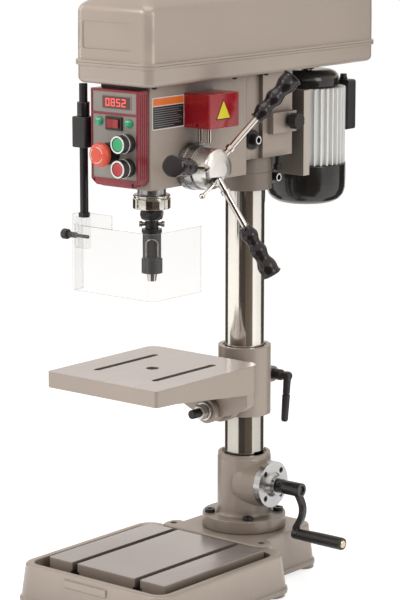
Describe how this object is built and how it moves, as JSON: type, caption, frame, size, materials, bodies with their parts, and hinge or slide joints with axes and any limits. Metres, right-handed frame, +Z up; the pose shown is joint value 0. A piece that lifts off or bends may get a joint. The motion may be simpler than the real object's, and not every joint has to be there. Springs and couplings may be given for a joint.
{
  "type": "drill press",
  "caption": "Bench drill press: chrome column on a slotted base, crank lift, belt-driven head with levered quill feed, tilting table and clear chuck guard.",
  "frame": {"origin": "column axis at the underside of the base", "axes": "+X to the operator's right, -Y to the front where the operator stands, +Z up along the column"},
  "size_m": [0.389, 0.695, 1.04],
  "materials": {
    "cast_paint": "satin",
    "sheet_paint": "satin",
    "polished": "polished",
    "steel": "satin",
    "black_steel": "satin",
    "bronze": "satin",
    "black_plastic": "matte",
    "alloy": "satin",
    "dark_red": "gloss",
    "bright_red": "gloss",
    "green": "gloss",
    "panel_grey": "matte",
    "clear_sheet": "clear"
  },
  "bodies": {
    "base": {"base": "cast_paint", "column_seat": "cast_paint", "seat_screws": "black_steel", "crank_flange": "polished"},
    "crank": {"crank_shaft": "steel", "crank_arm": "black_steel"},
    "crank_grip": {"crank_grip": "black_plastic"},
    "lift_screw": {"lift_screw": "steel"},
    "column": {"column": "polished", "lift_nut": "bronze", "lock_collar": "cast_paint", "lock_collar_bolt": "black_steel"},
    "head": {"head_casting": "cast_paint", "head_clamp_bolts": "black_steel", "cover_pan": "sheet_paint", "lid_hinge": "steel", "limit_box": "bright_red", "label_plate": "panel_grey", "control_box": "dark_red", "control_panel": "panel_grey", "pilot_lamps": "green", "switch_bezels": "black_plastic", "guard_switch": "black_plastic", "spring_cap": "black_steel", "v_belt": "black_plastic"},
    "motor": {"motor_plate": "cast_paint", "motor_body": "alloy", "motor_covers": "black_plastic", "terminal_box": "black_plastic"},
    "rotor": {"motor_shaft": "steel", "motor_pulley": "alloy"},
    "tension_knob": {"tension_knob": "black_plastic"},
    "lid": {"cover_lid": "sheet_paint"},
    "pulley": {"spindle_pulley": "alloy"},
    "quill": {"quill": "steel", "quill_collar": "polished"},
    "spindle": {"spindle": "steel", "spindle_nut": "black_steel", "chuck_body": "black_steel", "chuck_jaws": "steel"},
    "feed": {"feed_shaft": "steel", "feed_hub": "polished", "feed_rods": "polished", "feed_grips": "black_plastic"},
    "depth_ring": {"depth_ring": "polished"},
    "ring_lock": {"ring_lock_lever": "polished"},
    "table_bush": {"table_bush": "steel"},
    "arm": {"table_arm": "cast_paint", "tilt_bolt": "black_steel"},
    "arm_lever": {"arm_lever": "black_plastic"},
    "table": {"table": "cast_paint"},
    "guard_post": {"guard_post": "black_steel"},
    "guard_shield": {"guard_shield": "clear_sheet"},
    "guard_knob": {"guard_knob": "black_plastic"},
    "rocker": {"rocker": "bright_red"},
    "start_button": {"start_button": "green"},
    "stop_button": {"stop_button": "bright_red"},
    "estop_button": {"estop_button": "bright_red"},
    "plunger_a": {"plunger_a": "polished"},
    "plunger_b": {"plunger_b": "polished"}
  },
  "joints": [
    {"name": "column_lift", "type": "slide", "parent": "base", "child": "column", "axis": [0, 0, 1], "range_m": [-0.04, 0.06]},
    {"name": "screw_turn", "type": "hinge", "parent": "base", "child": "lift_screw", "pos_m": [0, 0, 0.15], "axis": [0, 0, 1], "range_deg": [-1081, 721]},
    {"name": "crank_turn", "type": "hinge", "parent": "base", "child": "crank", "pos_m": [0.1, 0, 0.163], "axis": [1, 0, 0], "range_deg": [-1081, 721]},
    {"name": "crank_grip_spin", "type": "hinge", "parent": "crank", "child": "crank_grip", "pos_m": [0.17, 0, 0.083], "axis": [1, 0, 0], "continuous": true},
    {"name": "head_swing", "type": "hinge", "parent": "column", "child": "head", "pos_m": [0, 0, 0.73], "axis": [0, 0, 1], "range_deg": [-90, 90]},
    {"name": "motor_slide", "type": "slide", "parent": "head", "child": "motor", "axis": [0, 1, 0], "range_m": [-0.01, 0]},
    {"name": "tension_knob_turn", "type": "hinge", "parent": "head", "child": "tension_knob", "pos_m": [0.07, 0.038, 0.803], "axis": [1, 0, 0], "range_deg": [-180, 180]},
    {"name": "lid_open", "type": "hinge", "parent": "head", "child": "lid", "pos_m": [-0.092, 0, 0.924], "axis": [0, -1, 0], "range_deg": [0, 95]},
    {"name": "pulley_spin", "type": "hinge", "parent": "head", "child": "pulley", "pos_m": [0, -0.248, 0.93], "axis": [0, 0, 1], "continuous": true},
    {"name": "motor_spin", "type": "hinge", "parent": "motor", "child": "rotor", "pos_m": [0, 0.1735, 0.8], "axis": [0, 0, 1], "continuous": true},
    {"name": "spindle_spin", "type": "hinge", "parent": "quill", "child": "spindle", "pos_m": [0, -0.248, 0.75], "axis": [0, 0, 1], "continuous": true},
    {"name": "feed_turn", "type": "hinge", "parent": "head", "child": "feed", "pos_m": [0, -0.211, 0.749], "axis": [1, 0, 0], "range_deg": [0, 305.5], "stiffness_Nm_per_rad": 0.8, "springref_deg": -91.67},
    {"name": "quill_feed", "type": "slide", "parent": "head", "child": "quill", "axis": [0, 0, 1], "range_m": [-0.0802, 0]},
    {"name": "depth_ring_turn", "type": "hinge", "parent": "feed", "child": "depth_ring", "pos_m": [0.07, -0.211, 0.749], "axis": [1, 0, 0], "range_deg": [-170, 170]},
    {"name": "ring_lock_turn", "type": "hinge", "parent": "feed", "child": "ring_lock", "pos_m": [0.11, -0.218, 0.728], "axis": [1, 0, 0], "range_deg": [-15, 15]},
    {"name": "table_height", "type": "slide", "parent": "column", "child": "table_bush", "axis": [0, 0, -1], "range_m": [-0.05, 0.028]},
    {"name": "table_swing", "type": "hinge", "parent": "table_bush", "child": "arm", "pos_m": [0, 0, 0.34], "axis": [0, 0, 1], "range_deg": [-90, 90]},
    {"name": "arm_lever_turn", "type": "hinge", "parent": "arm", "child": "arm_lever", "pos_m": [0.053, 0.055, 0.347], "axis": [1, 0, 0], "range_deg": [-20, 100]},
    {"name": "table_tilt", "type": "hinge", "parent": "arm", "child": "table", "pos_m": [0, -0.1, 0.306], "axis": [0, 1, 0], "range_deg": [-45, 45]},
    {"name": "guard_swing", "type": "hinge", "parent": "head", "child": "guard_post", "pos_m": [-0.072, -0.335, 0.7], "axis": [0, 0, 1], "range_deg": [-95, 0]},
    {"name": "guard_height", "type": "slide", "parent": "guard_post", "child": "guard_shield", "axis": [0, 0, 1], "range_m": [-0.015, 0.012]},
    {"name": "guard_knob_turn", "type": "hinge", "parent": "guard_post", "child": "guard_knob", "pos_m": [-0.1, -0.335, 0.634], "axis": [1, 0, 0], "range_deg": [-180, 180]},
    {"name": "rocker_tilt", "type": "hinge", "parent": "head", "child": "rocker", "pos_m": [0, -0.3405, 0.828], "axis": [0, 0, 1], "range_deg": [-7, 7]},
    {"name": "start_push", "type": "slide", "parent": "head", "child": "start_button", "axis": [0, 1, 0], "range_m": [0, 0.004], "stiffness_N_per_m": 500, "springref_m": -0.002},
    {"name": "stop_push", "type": "slide", "parent": "head", "child": "stop_button", "axis": [0, 1, 0], "range_m": [0, 0.004], "stiffness_N_per_m": 500, "springref_m": -0.002},
    {"name": "estop_push", "type": "slide", "parent": "head", "child": "estop_button", "axis": [0, 1, 0], "range_m": [0, 0.005]},
    {"name": "plunger_a_push", "type": "slide", "parent": "head", "child": "plunger_a", "axis": [0, 0, 1], "range_m": [0, 0.003], "stiffness_N_per_m": 400, "springref_m": -0.003},
    {"name": "plunger_b_push", "type": "slide", "parent": "head", "child": "plunger_b", "axis": [0, 0, 1], "range_m": [0, 0.003], "stiffness_N_per_m": 400, "springref_m": -0.003}
  ],
  "couplings": [
    {"joint": "screw_turn", "follows": "column_lift", "rad_per_m": -314.16},
    {"joint": "crank_turn", "follows": "column_lift", "rad_per_m": -314.16},
    {"joint": "motor_spin", "follows": "pulley_spin", "ratio": 1.274},
    {"joint": "spindle_spin", "follows": "pulley_spin", "ratio": 1},
    {"joint": "quill_feed", "follows": "feed_turn", "m_per_rad": -0.015}
  ]
}
